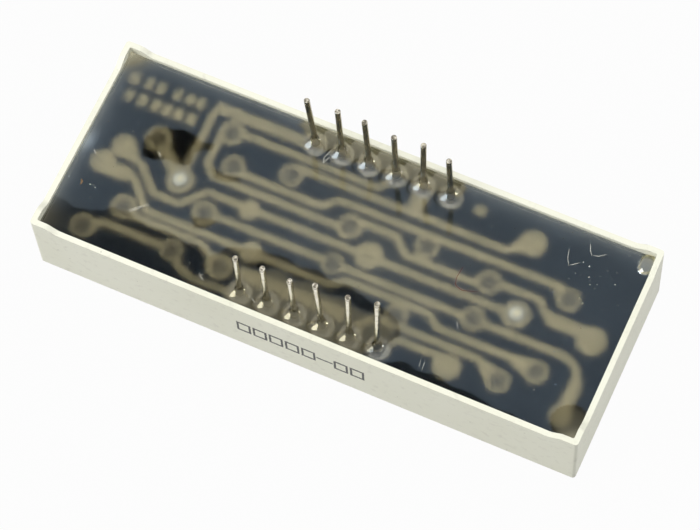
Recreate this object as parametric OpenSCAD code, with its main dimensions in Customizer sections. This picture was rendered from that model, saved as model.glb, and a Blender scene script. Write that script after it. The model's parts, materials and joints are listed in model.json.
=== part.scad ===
// Four-digit seven-segment display module with a 12-pin through-hole footprint.
// It lies on its front face, z = 0, with its pins up along +Z; X runs along the row of digits.
// Origin: centre of the front face. Lengths are in millimetres.

/* [Housing] */
// Length of the housing along the row of digits
length = 50.3; // [49:0.1:56]
// Width of the housing across the pin rows
width = 19; // [18.6:0.1:24]
// Height from the front face to the top of the corner feet
height = 8; // [7.9:0.1:12]
// Thickness of the rim walls round the board
wall = 0.5; // [0.4:0.05:0.6]
// How far the rim lies below the corner feet
rim_drop = 0.55; // [0.3:0.05:0.6]
// Length of the flat top of a corner foot along the long side
foot_long = 1.3; // [0.8:0.1:2]
// Length of the flat top of a corner foot along the short side
foot_short = 1.3; // [0.8:0.1:2]
// Length of the slope from a foot down to the rim
foot_slope = 1.4; // [0.6:0.1:2]
// Radius of the upright outer corners
corner_r = 0.3; // [0.1:0.05:0.45]
// Chamfer round the front face
face_chamfer = 0.2; // [0.1:0.05:0.4]
// Thickness of the printed front layer
print_t = 0.05; // [0.02:0.01:0.1]
// Depth of the light wells, from the front face to the board side
well_depth = 4.35; // [4:0.05:5]

/* [Digits] */
// Distance from a short side to the end digit, before it is slanted
end_margin = 2.1; // [2:0.05:3]
// Distance from a long side to the digits
digit_inset = 2.4; // [2.3:0.05:3]
// Space between two neighbouring digits, before they are slanted
digit_space = 4.7; // [4.5:0.1:5.5]
// Stroke width of a segment
stroke = 1.8; // [1.4:0.1:2]
// Gap between neighbouring segments
segment_gap = 0.3; // [0.2:0.05:0.5]
// Slant of the digits in degrees
slant = 8; // [0:1:10]
// Radius of a decimal point
point_r = 0.9; // [0.7:0.05:0.95]
// Distance from a digit's edge to the middle of its point
point_gap = 1.2; // [1.15:0.05:1.3]
// Length of a light well's board end, as a share of its length at the face
taper_long = 0.5; // [0.45:0.05:0.8]
// Width of a light well's board end, as a share of its width at the face
taper_wide = 0.65; // [0.6:0.05:0.9]

/* [Board] */
// Thickness of the board
board_t = 1; // [0.8:0.1:1.2]
// Clearance between the board's edge and the rim walls
board_gap = 0.1; // [0.05:0.05:0.3]
// Thickness of the copper foil
foil = 0.05; // [0.03:0.01:0.07]
// Width of an ordinary track
track_w = 0.65; // [0.4:0.05:0.75]
// Radius of a through-hole that silver paste fills
via_r = 0.4; // [0.25:0.05:0.5]
// Radius of the paste's cap on the back
paste_r = 0.75; // [0.6:0.05:0.8]
// Height of the paste's cap
paste_h = 0.12; // [0.05:0.01:0.2]
// Thickness of the plating in the pin holes
plating = 0.05; // [0.03:0.01:0.08]
// Radius of the locating pegs
peg_r = 0.6; // [0.4:0.05:0.7]
// Clearance round a locating peg
peg_gap = 0.1; // [0.05:0.05:0.15]
// How far a locating peg stands above the board
peg_rise = 0.8; // [0.4:0.1:1]

/* [Pins] */
// Distance between neighbouring pins in a row
pin_pitch = 2.54; // [2.3:0.02:2.6]
// Distance from a long side to its pin row
row_inset = 1.88; // [1.8:0.02:2]
// Radius of a pin's tinned free end
pin_r = 0.255; // [0.2:0.005:0.3]
// Thickness of the tin on a pin's free end
tin_t = 0.005; // [0.002:0.001:0.01]
// Length of a pin from the top of the corner feet to its tip
pin_reach = 6.5; // [3:0.1:12]
// How far a pin stands out under the board
pin_tail = 0.3; // [0.1:0.05:0.4]
// Chamfer at a pin's tip
pin_chamfer = 0.08; // [0.02:0.01:0.12]
// Clearance between a pin and its plated hole, filled with solder
solder_gap = 0.18; // [0.15:0.01:0.2]
// Radius of the copper pad round a pin
pin_pad_r = 0.85; // [0.75:0.05:0.95]
// Radius of a solder fillet at the board
solder_r = 0.7; // [0.55:0.05:0.72]
// Height of a solder fillet
solder_h = 0.5; // [0.3:0.05:0.6]
// Clearance between a pin's tail and the bottom of its relief
tail_gap = 0.2; // [0.1:0.05:0.3]
// Radius of the relief in the housing under a pin's tail
tail_relief_r = 0.5; // [0.35:0.05:0.55]

/* [Potting] */
// Depth of the clear potting over the board
potting_t = 1.5; // [1.3:0.05:1.7]
// How far the potting creeps up the walls
wall_creep = 0.35; // [0.1:0.05:0.45]
// Reach of that creep away from the walls
wall_creep_w = 1; // [0.6:0.1:1.2]
// How far the potting creeps up a pin
pin_creep = 0.45; // [0.2:0.05:0.6]
// Radius of the potting's cone round a pin
pin_creep_r = 1.05; // [0.8:0.05:1.15]

/* [Light chips] */
// Side of a light chip
chip_w = 0.28; // [0.2:0.02:0.35]
// Thickness of a light chip
chip_t = 0.22; // [0.15:0.01:0.3]
// Span of a bond wire
bond_span = 0.8; // [0.6:0.05:0.9]
// Radius of a bond wire
bond_r = 0.02; // [0.015:0.005:0.03]

/* [Hidden] */
segment_names = ["a", "b", "c", "d", "e", "f", "g", "point"];
digits = 4;
pins_per_row = 6;
pin_count = 2 * pins_per_row;

$fn = 48;
eps = 0.01;
past = 1;
arc_steps = 5;
slope_steps = 8;

// Levels along Z
seat_z = well_depth;
board_z0 = seat_z + foil;
board_z1 = board_z0 + board_t;
copper_z1 = board_z1 + foil;
potting_z1 = board_z1 + potting_t;
rim_z = height - rim_drop;
pin_z0 = board_z0 - foil - pin_tail;
pin_z1 = height + pin_reach;
peg_z1 = board_z1 + peg_rise;

// Sizes that follow from the ones above
row_pitch = width - 2 * row_inset;
digit_pitch = (length - 2 * end_margin + digit_space) / digits;
digit_w = digit_pitch - digit_space;
digit_h = width - 2 * digit_inset;
half_w = digit_w / 2;
half_h = digit_h / 2;
peg_x = (digits - 1) / 2 * digit_pitch - half_w + peg_r;
in_l = length - 2 * wall;
in_w = width - 2 * wall;
board_l = in_l - 2 * board_gap;
board_w = in_w - 2 * board_gap;
in_r = max(corner_r - wall, 0) + 0.15;
wire_r = pin_r - tin_t;
hole_r = wire_r + solder_gap + plating;
peg_hole_r = peg_r + peg_gap;
tail_relief_t = pin_tail + tail_gap;
mitre = segment_gap / sqrt(2);
bond_pad_w = 0.34;
chip_pad_w = 0.5;
front_track_w = 0.25;
stub_l = 0.6;
pin_creep_edge = 0.05;

// Every pin's place: 1 to 6 along the front row, then back along the other row
pin_places = [for (n = [0:pin_count - 1])
    n < pins_per_row
        ? [(pins_per_row - 1) / 2 * pin_pitch - n * pin_pitch, -row_pitch / 2]
        : [(n - 1.5 * pins_per_row + 0.5) * pin_pitch, row_pitch / 2]];

// The copper's layout is drawn for this size of board, and follows the board where that changes
layout = [49.1, 17.8];
function on_board(p) = [p[0] * board_l / layout[0], p[1] * board_w / layout[1]];

// Paste-filled vias: x, y, radius of the pad
vias = [
    [-19.1, 2.8, 1.15], [-13.5, 5.8, 1.15], [-12, 3, 1.05], [-7.1, 4.2, 1.05],
    [-0.5, 1.8, 1.15], [6.3, 2.7, 1.05], [12.4, 1.8, 1.1], [19.2, 3, 1.05],
    [-12.4, -2, 1.15], [-0.4, -1.9, 1], [12.5, -1.8, 1.1], [-19, -4.2, 1.15],
    [-9.1, -6, 1.2], [-21.5, -7.2, 1.15], [6.5, -4.1, 1.05], [-13.5, -6.2, 1],
    [19.2, -4.1, 1.05], [16.6, -6.1, 1.05]
];

// Solid round pads on the back: x, y, radius
pads = [
    [-21.5, 1, 1.1], [-22.6, -1, 1.1], [-9, -0.2, 0.95], [2.1, 0, 1.25],
    [14.4, 6.6, 1.2], [22.4, 0.3, 1.3], [-7.2, -3.7, 1],
    [22.6, -6.9, 1], [12.2, -6.6, 1.2]
];
peg_places = [[-peg_x, 0], [peg_x, 0]];
peg_pad_r = 1.25;

// Blocks of plain copper in the board's corner: x, y, width
marks = [for (x = [-23.6, -22.1, -21, -19.4, -18.2, -17.2]) [x, 7.3, x < -23 ? 1.1 : 0.7],
         for (x = [-23.3, -22, -20.7, -19.6, -18.5, -17.3]) [x, 5.6, 0.8]];
mark_h = 1.1;

// The curve of the long outer track, which widens on its way down
bend_c = [20.5, -4.1];
bend_r = 2.25;
bend = [for (a = [90:-15:30]) bend_c + bend_r * [cos(a), sin(a)]];
bend_end = bend_c + [bend_r, 0];

// Tracks on the back: width, the points of the middle line, and the pin or peg where it ends
wide_w = 1.2;
band_w = 1.4;
tracks = [
    [wide_w, [[-19.1, 2.8]], peg_places[0]],
    [track_w, [[-15.4, 7.5], [-15.7, 7.2], [-15.7, 1]], peg_places[0]],
    [1.05, [[-15.9, 7.6]], pin_places[6]],
    [track_w, [[-13.5, 6.1], [0.2, 6.1]], pin_places[9]],
    [track_w, [[-14.25, 5.8], [-14.25, 2.5], [-13.2, 1.45], [-0.5, 1.45]]],
    [track_w, [[-12, 2.6], [-3.5, 2.6], [-2.4, 3.7], [18.1, 3.8], [19.2, 3]]],
    [track_w, [[-7.1, 5.1], [12.6, 5.1], [14.4, 6.6]]],
    [band_w, [[3.9, 5.1], [3.9, 6.5]], pin_places[10]],
    [track_w, [[-0.5, 2.55], [3.6, 2.55], [4.85, 1.3], [12.4, 1.3]]],
    [track_w, [[12.4, 2], [16.95, 2.05], [18.2, 0.75]]],
    [wide_w, [[18.2, 0.75], [22.4, 0.75]]],
    [track_w, [[-21.5, 1], [-20, 0.2], [-19.2, -0.1], [-17.3, -2.05], [-14.8, -2.05],
               [-13, -0.1], [14.5, -0.1]], peg_places[1]],
    [band_w, [[-22.6, -1.35], [-19.9, -1.35]]],
    [track_w, [[-20.4, -1.35], [-19.4, -1.35], [-17.2, -3.75], [0.2, -3.75], [1.2, -2.85],
               [8.9, -2.85], [10.1, -3.75], [19.2, -3.75]]],
    [track_w, concat([[-12.4, -1.9]], bend)],
    [wide_w, [bend_end, [22.6, -5.8], [22.6, -6.9]]],
    [track_w, [[-19, -4.65], [-11.6, -4.65], [-9.1, -6]]],
    [track_w, [[-21.5, -7.2], [-19.9, -6.2], [-13.4, -6.2], [-12.3, -7.35], [-11, -7.9],
               [-9.6, -8]], pin_places[5]],
    [track_w, [[16.6, -6.1], [14.3, -4.95], [4.9, -4.95], [3.9, -6.1]], pin_places[1]],
    [track_w, [[12.2, -6.6], [11, -6.05], [7.5, -6.05]], pin_places[0]],
    [band_w, [[-7.4, -5.9], [2.6, -5.9]]],
    [1, [[9.1, 8.1], [9.1, 7.2]]]
];

// Where a track widens: its two ends and the width at each
tapers = [
    [bend[len(bend) - 1], bend_end, track_w, wide_w],
    [[17.6, 3.8], [19, 3.1], track_w, 1.9],
    [[17.7, 1.2], [18.9, 0.75], track_w, wide_w],
    [[16.7, -3.75], [18.9, -4.05], track_w, 1.9],
    [[14.6, -5.1], [16.4, -6], track_w, 1.9],
    [[12.9, 5.4], [14.2, 6.4], track_w, 1.9],
    [[-19.9, 0.15], [-21.3, 0.9], track_w, 1.9],
    [[-20.2, -6.4], [-21.3, -7.1], track_w, 1.8],
    [[10.9, -6.05], [12, -6.5], track_w, 1.8]
];

// A track's points, with the pin or peg where it ends
function track_points(t) = concat([for (p = t[1]) on_board(p)], len(t) > 2 ? [t[2]] : []);

// Segment outlines of one upright digit, seen from the front, before the slant
outline_a = [[-half_w + mitre, half_h], [half_w - mitre, half_h],
             [half_w - stroke - mitre, half_h - stroke], [-half_w + stroke + mitre, half_h - stroke]];
outline_b = [[half_w, half_h - mitre], [half_w, mitre], [half_w - stroke / 2, mitre],
             [half_w - stroke, stroke / 2 + mitre], [half_w - stroke, half_h - stroke - mitre]];
outline_g = [[half_w - stroke - mitre, stroke / 2], [half_w - stroke / 2 - mitre, 0],
             [half_w - stroke - mitre, -stroke / 2], [-half_w + stroke + mitre, -stroke / 2],
             [-half_w + stroke / 2 + mitre, 0], [-half_w + stroke + mitre, stroke / 2]];
function flipped(points, fx, fy) = [for (p = points) [fx * p[0], fy * p[1]]];
outlines = [outline_a, outline_b, flipped(outline_b, 1, -1), flipped(outline_a, 1, -1),
            flipped(outline_b, -1, -1), flipped(outline_b, -1, 1), outline_g];
middles = let (x = half_w - stroke / 2, y = half_h / 2, top = half_h - stroke / 2)
    [[0, top], [x, y], [x, -y], [0, -top], [-x, -y], [-x, y], [0, 0]];
point_middle = [half_w + point_gap, -half_h + point_r];
lies_flat = [true, false, false, true, false, false, true];

// An outline's points in counter-clockwise order
function turn(p) = [for (i = [0:len(p) - 1]) let (q = p[(i + 1) % len(p)]) p[i][0] * q[1] - q[0] * p[i][1]];
function total(v, i = 0) = i < len(v) ? v[i] + total(v, i + 1) : 0;
function reversed(p) = [for (i = [len(p) - 1:-1:0]) p[i]];
function counter(p) = total(turn(p)) > 0 ? p : reversed(p);

// The front is seen from below, so what lies to the right there lies towards -X
function from_front(p) = [-p[0] - p[1] * tan(slant), p[1]];
function digit_x(d) = ((digits + 1) / 2 - d) * digit_pitch;
function segment_middle(s) = from_front(s < 7 ? middles[s] : point_middle);

// Points of a rectangle with rounded corners
function rounded(l, w, r) = [for (q = [0:3], i = [0:arc_steps])
    let (a = 90 * q + 90 * i / arc_steps, sx = (q == 0 || q == 3) ? 1 : -1, sy = q < 2 ? 1 : -1)
    [sx * (l / 2 - r) + r * cos(a), sy * (w / 2 - r) + r * sin(a)]];

// One side of a track's outline: each corner is mitred
function unit(v) = v / norm(v);
function left_of(v) = [-v[1], v[0]];
function side(p, h) = [for (i = [0:len(p) - 1])
    let (into = i > 0 ? unit(p[i] - p[i - 1]) : unit(p[1] - p[0]),
         out = i < len(p) - 1 ? unit(p[i + 1] - p[i]) : into,
         m = unit(left_of(into) + left_of(out)))
    p[i] + m * h / (m * left_of(into))];
module taper(p, q, w0, w1) {
    across = unit(left_of(q - p));
    polygon([p + across * w0 / 2, p - across * w0 / 2, q - across * w1 / 2, q + across * w1 / 2]);
}
module strip(points, w) {
    polygon(concat(side(points, -w / 2), reversed(side(points, w / 2))));
}

// A solid with straight sides between an outline and the same outline drawn in towards the origin
module drawn_in(outline, h, share) {
    n = len(outline);
    polyhedron(
        points = concat([for (p = outline) [p[0], p[1], 0]],
                        [for (p = outline) [p[0] * share[0], p[1] * share[1], h]]),
        faces = concat([[for (i = [0:n - 1]) i]], [[for (i = [n - 1:-1:0]) n + i]],
                       [for (i = [0:n - 1]) [i, n + i, (i + 1) % n]],
                       [for (i = [0:n - 1]) [n + i, n + (i + 1) % n, (i + 1) % n]]));
}

// A light well between the face and the board: a mould's tapered core, and the plug cast in it
module well(d, s) {
    m = segment_middle(s);
    translate([digit_x(d) + m[0], m[1], 0])
        if (s < 7)
            drawn_in(counter([for (p = outlines[s]) from_front(p) - m]), well_depth,
                     lies_flat[s] ? [taper_long, taper_wide] : [taper_wide, taper_long]);
        else
            cylinder(h = well_depth, r1 = point_r, r2 = point_r * taper_wide);
}

// Places children at a segment's middle on the board's chip side, turned along the segment
function chip_turn(s) = s == 7 ? 180 : lies_flat[s] ? 0 : 90 + slant;
module at_chip(d, s, z = seat_z) {
    m = segment_middle(s);
    translate([digit_x(d) + m[0], m[1], z]) rotate(chip_turn(s)) children();
}

module chip() {
    translate([-bond_span / 2 - chip_w / 2, -chip_w / 2, -chip_t]) cube([chip_w, chip_w, chip_t]);
}

// The wire stands on the chip and comes down on its pad
module bond_wire() {
    translate([0, 0, -chip_t]) rotate([-90, 0, 0])
        rotate_extrude(angle = 180, $fn = 32) translate([bond_span / 2, 0]) circle(r = bond_r, $fn = 16);
    translate([bond_span / 2, 0, -chip_t]) cylinder(h = chip_t, r = bond_r, $fn = 16);
}

module light_plug(d, s) {
    color("ghostwhite") difference() {
        well(d, s);
        at_chip(d, s) { chip(); bond_wire(); }
    }
}

module light_chips(d) {
    color("gold") for (s = [0:7]) at_chip(d, s) chip();
}

module bond_wires(d) {
    color("goldenrod") for (s = [0:7]) at_chip(d, s) bond_wire();
}

module every_well() {
    for (d = [1:digits], s = [0:7]) well(d, s);
}

// The block between the printed front layer and the corner feet, with a chamfered front edge
module block() {
    c = face_chamfer - print_t;
    hull() {
        translate([0, 0, print_t]) linear_extrude(eps)
            polygon(rounded(length - 2 * c, width - 2 * c, corner_r));
        translate([0, 0, face_chamfer]) linear_extrude(height - face_chamfer)
            polygon(rounded(length, width, corner_r));
    }
}

// What lies between two feet, from the rim up: low in the middle, curving up to each foot
module between_feet(span, foot, across) {
    top = span / 2 - foot;
    right = [for (i = [0:slope_steps]) let (u = i / slope_steps)
        [top - foot_slope * u, height - rim_drop * (1 - cos(180 * u)) / 2]];
    rotate([90, 0, 0]) linear_extrude(across, center = true)
        polygon(concat([[-top, height + past], [top, height + past]], right,
                       flipped(reversed(right), -1, 1)));
}

module housing() {
    color("ivory") {
        difference() {
            block();
            translate([0, 0, seat_z]) linear_extrude(height) polygon(rounded(in_l, in_w, in_r));
            between_feet(length, foot_long, width + past);
            rotate([0, 0, 90]) between_feet(width, foot_short, length + past);
            every_well();
            for (p = pin_places) translate([p[0], p[1], seat_z - tail_relief_t])
                cylinder(h = tail_relief_t + eps, r = tail_relief_r);
        }
        for (p = peg_places) translate(p) locating_peg();
    }
}

module locating_peg() {
    translate([0, 0, seat_z - eps]) cylinder(h = peg_z1 - peg_r / 2 - seat_z + eps, r = peg_r);
    translate([0, 0, peg_z1 - peg_r / 2]) cylinder(h = peg_r / 2, r1 = peg_r, r2 = peg_r / 2);
}

module face_print() {
    color("dimgray") difference() {
        linear_extrude(print_t)
            polygon(rounded(length - 2 * face_chamfer, width - 2 * face_chamfer, corner_r));
        every_well();
    }
}

module every_via(z0, z1) {
    for (v = vias) translate(concat(on_board(v), z0)) cylinder(h = z1 - z0, r = via_r);
}

module every_pin_hole(z0, z1, r) {
    for (p = pin_places) translate(concat(p, z0)) cylinder(h = z1 - z0, r = r);
}

module every_peg_hole(z0, z1) {
    for (p = peg_places) translate(concat(p, z0)) cylinder(h = z1 - z0, r = peg_hole_r);
}

module board() {
    color("#15181c") difference() {
        translate([0, 0, board_z0]) linear_extrude(board_t) polygon(rounded(board_l, board_w, in_r));
        every_via(board_z0 - eps, board_z1 + eps);
        every_pin_hole(board_z0 - eps, board_z1 + eps, hole_r);
        every_peg_hole(board_z0 - eps, board_z1 + eps);
    }
}

// Foil on the back of the board, before the holes
module back_foil() {
    translate([0, 0, board_z1]) linear_extrude(foil) {
        for (t = tracks) strip(track_points(t), t[0]);
        for (t = tapers) taper(on_board(t[0]), on_board(t[1]), t[2], t[3]);
        for (v = concat(vias, pads)) translate(on_board(v)) circle(r = v[2]);
        for (p = pin_places) translate(p) circle(r = pin_pad_r);
        for (p = peg_places) translate(p) circle(r = peg_pad_r);
        for (m = marks) translate(on_board(m)) square([m[2], mark_h], center = true);
    }
}

module copper_back() {
    color("#b08d57") difference() {
        union() {
            back_foil();
            every_pin_hole(board_z0, board_z1 + eps, hole_r);
        }
        every_pin_hole(board_z0 - eps, copper_z1 + eps, hole_r - plating);
        every_via(board_z1 - eps, copper_z1 + eps);
        every_peg_hole(board_z1 - eps, copper_z1 + eps);
    }
}

// Silver paste that fills each via and caps it on the back
module paste_vias() {
    color("#6f6d63") for (v = vias) translate(on_board(v)) rotate_extrude()
        polygon(concat(
            [[0, board_z0], [via_r, board_z0], [via_r, copper_z1]],
            [for (i = [0:arc_steps]) let (a = 90 * i / arc_steps)
                [paste_r * cos(a), copper_z1 + paste_h * sin(a)]]));
}

// Where a segment's chip lies in its digit
function chip_place(s) =
    segment_middle(s) - (bond_span + chip_w) / 2 * [cos(chip_turn(s)), sin(chip_turn(s))];

// Foil on the chip side: a pad and a stub for each wire, and a tree of tracks under a digit's chips
module copper_front() {
    branches = [[0, 6, 3], [5, 1], [4, 2], [3, 7]];
    color("#b08d57") translate([0, 0, seat_z]) linear_extrude(foil)
        for (d = [1:digits]) {
            for (s = [0:7]) at_chip(d, s, 0) {
                translate([-(bond_span + chip_w) / 2, 0]) square(chip_pad_w, center = true);
                translate([bond_span / 2, 0]) square(bond_pad_w, center = true);
                translate([bond_span / 2, -front_track_w / 2]) square([stub_l, front_track_w]);
            }
            translate([digit_x(d), 0])
                for (b = branches) strip([for (s = b) chip_place(s)], front_track_w);
        }
}

module solder_joints() {
    color("silver") for (p = pin_places) translate(p) rotate_extrude()
        polygon(concat(
            [[wire_r, board_z0], [hole_r - plating, board_z0], [hole_r - plating, copper_z1],
             [solder_r, copper_z1]],
            [for (i = [1:arc_steps]) let (a = 90 * i / arc_steps)
                [solder_r - (solder_r - wire_r) * sin(a), copper_z1 + solder_h * (1 - cos(a))]]));
}

// The filled hollow above the board, dished between the walls
module potting_body() {
    steps = 4;
    difference() {
        translate([0, 0, board_z0]) linear_extrude(potting_z1 + wall_creep - board_z0)
            polygon(rounded(in_l, in_w, in_r));
        for (i = [0:steps - 1])
            let (u0 = i / steps, u1 = (i + 1) / steps)
            hull() for (u = [u0, u1])
                translate([0, 0, potting_z1 + wall_creep * u * u])
                    linear_extrude(u == 1 ? 1 : eps)
                        polygon(rounded(in_l - 2 * wall_creep_w * (1 - u),
                                        in_w - 2 * wall_creep_w * (1 - u), in_r));
    }
}

module pin_cones() {
    for (p = pin_places) translate(p) rotate_extrude()
        polygon(concat([[0, potting_z1 - 0.2], [pin_creep_r, potting_z1 - 0.2]],
            [for (i = [0:arc_steps]) let (u = i / arc_steps)
                [pin_creep_r - (pin_creep_r - wire_r - pin_creep_edge) * u,
                 potting_z1 + pin_creep * u * u]],
            [[0, potting_z1 + pin_creep]]));
}

module potting() {
    color([0.75, 0.8, 0.85, 0.4]) difference() {
        union() {
            potting_body();
            pin_cones();
        }
        board();
        copper_back();
        for (p = pin_places) translate([p[0], p[1], board_z0]) cylinder(h = height, r = wire_r);
        for (p = peg_places) translate(p) locating_peg();
        paste_vias();
        solder_joints();
    }
}

// A bare wire up to the rim's level, and tinned from there to its tip
module pin(n) {
    color("silver") translate(pin_places[n - 1]) rotate_extrude()
        polygon([[pin_r, rim_z], [pin_r, pin_z1 - pin_chamfer], [pin_r - pin_chamfer, pin_z1],
                 [0, pin_z1], [0, pin_z0], [wire_r, pin_z0], [wire_r, rim_z]]);
}

housing();
face_print();
board();
copper_back();
copper_front();
paste_vias();
solder_joints();
potting();
for (n = [1:pin_count]) pin(n);
for (d = [1:digits], s = [0:7])
    light_plug(d, s);
for (d = [1:digits]) light_chips(d);
for (d = [1:digits]) bond_wires(d);
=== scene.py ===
# %% [markdown]
# # A four-digit display module, seen from its pin side
# The real object is a white moulded box with a black circuit board sunk into its back. Clear
# resin is poured over the board up to just under the rim, and two rows of tinned wires stand
# out of it. Most of what makes it look real happens in that resin: it bends the view of the
# copper below, climbs the walls and the wires, and carries a painted reflection that hides the
# board in most places and leaves it clear, with painted shade, in others.
# The CAD model gives every rigid form. This script gives finishes, the poured resin's own
# surface, the wires as they really stand, the studio and the camera.

# %% The imported model
import json
import math

import bpy
import numpy as np
from mathutils import Matrix, Vector


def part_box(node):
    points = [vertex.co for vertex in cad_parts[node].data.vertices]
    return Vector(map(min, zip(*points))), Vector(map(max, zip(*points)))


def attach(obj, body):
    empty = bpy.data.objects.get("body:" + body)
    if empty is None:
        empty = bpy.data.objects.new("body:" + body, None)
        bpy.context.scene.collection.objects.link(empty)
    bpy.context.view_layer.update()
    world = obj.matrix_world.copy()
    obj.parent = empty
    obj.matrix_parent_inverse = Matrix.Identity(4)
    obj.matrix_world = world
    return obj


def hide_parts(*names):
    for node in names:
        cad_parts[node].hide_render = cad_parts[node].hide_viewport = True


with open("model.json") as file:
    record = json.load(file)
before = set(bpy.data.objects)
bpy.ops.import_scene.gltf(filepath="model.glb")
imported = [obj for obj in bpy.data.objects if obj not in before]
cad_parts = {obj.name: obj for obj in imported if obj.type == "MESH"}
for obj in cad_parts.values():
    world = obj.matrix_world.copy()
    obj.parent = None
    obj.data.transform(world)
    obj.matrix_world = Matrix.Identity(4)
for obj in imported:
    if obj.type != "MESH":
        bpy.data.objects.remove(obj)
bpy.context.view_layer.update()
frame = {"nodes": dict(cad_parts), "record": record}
MM = 0.001
nodes = frame["nodes"]

# %% [markdown]
# ## Sizes taken from the frame
# Everything added here sits in or on a CAD piece, so its place is read from that piece's box.
# The board gives the level that the resin lies on, the housing gives the walls, and each pin
# gives its own place. What no box tells is typed in millimetres, such as the resin's depth,
# the stamp, the two pegs' spots, the clear places and those of painted sheen, the traces and
# the leans.


# %% Boxes in millimetres
def box_mm(name):
    """Lowest and highest corner of a CAD node, in millimetres."""
    low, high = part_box(name)
    return np.array(low) / MM, np.array(high) / MM


housing_low, housing_high = box_mm("housing")
resin_low, resin_high = box_mm("potting")
pin_names = [f"pin_{n}" for n in range(1, 13)]
pin_boxes = {name: box_mm(name) for name in pin_names}
pin_spots = {name: (low + high)[:2] / 2 for name, (low, high) in pin_boxes.items()}
print("resin from", resin_low.round(2), "to", resin_high.round(2))

# %% [markdown]
# ## Camera
# A long lens looks down at the module from the front right. Its place and its three axes were
# found by fitting the rim's corners and the pins' feet in the photograph, so what is modelled
# at its real size falls where the photograph has it.

# %% The photograph's camera
camera_place = Vector((52.447, -93.749, 245.166)) * MM
camera_right = Vector((0.90975, 0.41358, -0.03602))
camera_up = Vector((-0.36558, 0.83922, 0.40256))
camera_back = Vector((0.19672, -0.35307, 0.91468))

camera_data = bpy.data.cameras.new("photo_camera")
camera_data.sensor_width = 36
camera_data.lens = 158.88
camera_data.clip_start = 0.01
camera_data.clip_end = 10
camera = bpy.data.objects.new("photo_camera", camera_data)
axes = Matrix((camera_right, camera_up, camera_back)).transposed()
camera.matrix_world = Matrix.Translation(camera_place) @ axes.to_4x4()
bpy.context.scene.collection.objects.link(camera)
bpy.context.scene.camera = camera
bpy.context.scene.view_settings.view_transform = "Standard"
print("camera stands", round(camera_place.length / MM), "mm from the origin")

# %% [markdown]
# ## Helpers for shader nodes
# A finish is a small graph of shader nodes. The helpers add a node, set it up and feed its
# inputs, each with a plain value or with another node's output, so that a material reads as a
# short list of steps.


# %% Add a node
def plug(tree, socket, value):
    """Link another node's output into a socket, or set the socket to a plain value."""
    if isinstance(value, bpy.types.NodeSocket):
        tree.links.new(value, socket)
    else:
        socket.default_value = value


def add(tree, kind, inputs=None, **settings):
    """A new node with its settings, and its inputs fed by values or by other nodes' outputs."""
    made = tree.nodes.new(kind)
    for name, value in settings.items():
        setattr(made, name, value)
    for name, value in (inputs or {}).items():
        plug(tree, made.inputs[name], value)
    return made


def math_node(tree, operation, a, b=0.0, clamp=False):
    """The output of one Math node."""
    made = add(tree, "ShaderNodeMath", {0: a, 1: b}, operation=operation, use_clamp=clamp)
    return made.outputs[0]


def fine_noise(tree, place, scale, detail):
    """Grey noise between 0 and 1."""
    made = add(tree, "ShaderNodeTexNoise", {"Vector": place, "Scale": scale, "Detail": detail})
    return made.outputs["Fac"]


def relief(tree, height, strength, depth_mm):
    """The normal of a surface with fine relief on it."""
    made = add(tree, "ShaderNodeBump", {"Height": height, "Strength": strength, "Distance": depth_mm * MM})
    return made.outputs["Normal"]


print("node helpers ready")

# %% [markdown]
# The Mix node has one set of sockets for numbers, one for vectors and one for colours, all
# under the same names. The next helper has to reach the colour set, so it looks the sockets
# up by their kind.


# %% Mix colours by socket kind
def mix_colour(tree, share, a, b):
    """Colour a, with a share of colour b laid over it."""
    made = add(tree, "ShaderNodeMix", data_type="RGBA")
    colours = [s for s in made.inputs if s.type == "RGBA"]
    for socket, value in ((made.inputs[0], share), (colours[0], a), (colours[1], b)):
        plug(tree, socket, value)
    return next(s for s in made.outputs if s.type == "RGBA")


def lay_over(tree, mask, share, under, over):
    """Colour under, with a share of colour over laid on it where the mask is 1."""
    return mix_colour(tree, math_node(tree, "MULTIPLY", mask, share), under, over)


print("colour helpers ready")


# %% Start a material
def start_material(name):
    """A material with its shader, and a place on the object in millimetres."""
    material = bpy.data.materials.new(name)
    material.use_nodes = True
    tree = material.node_tree
    shader = tree.nodes["Principled BSDF"]
    where = add(tree, "ShaderNodeTexCoord").outputs["Object"]
    place = add(tree, "ShaderNodeVectorMath", {0: where, "Scale": 1 / MM}, operation="SCALE")
    return material, tree, shader, place.outputs[0]


def feed(tree, shader, **inputs):
    """Feed or set the shader's sockets; an underscore stands for a space."""
    for name, value in inputs.items():
        plug(tree, shader.inputs[name.replace("_", " ")], value)


print("material helpers ready")

# %% [markdown]
# ## Shared effects
# Three effects are used more than once, so each is a node group with named sockets:
# - cloudiness, a soft drift between 0 and 1, for colour that is never quite even;
# - soft patch, a mask that is 1 inside an egg-shaped space and fades at its edge, for the
#   painted shade on the back row of wires and for their cut ends;
# - specks, small scattered dots, for dust and for dark specks.


# %% Start a node group
def start_group(name, sockets_in, sockets_out):
    """An empty shader node group with its named sockets, and its input and output nodes."""
    group = bpy.data.node_groups.new(name, "ShaderNodeTree")
    for label, kind, value in sockets_in:
        socket = group.interface.new_socket(label, in_out="INPUT", socket_type=kind)
        socket.default_value = value
    for label, kind in sockets_out:
        group.interface.new_socket(label, in_out="OUTPUT", socket_type=kind)
    return group, group.nodes.new("NodeGroupInput"), group.nodes.new("NodeGroupOutput")


def place_group(tree, group, **inputs):
    """The outputs of a group, placed in a material with its own values."""
    made = tree.nodes.new("ShaderNodeGroup")
    made.node_tree = group
    for name, value in inputs.items():
        plug(tree, made.inputs[name], value)
    return made.outputs


FLOAT, VECTOR = "NodeSocketFloat", "NodeSocketVector"
print("group helpers ready")

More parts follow.
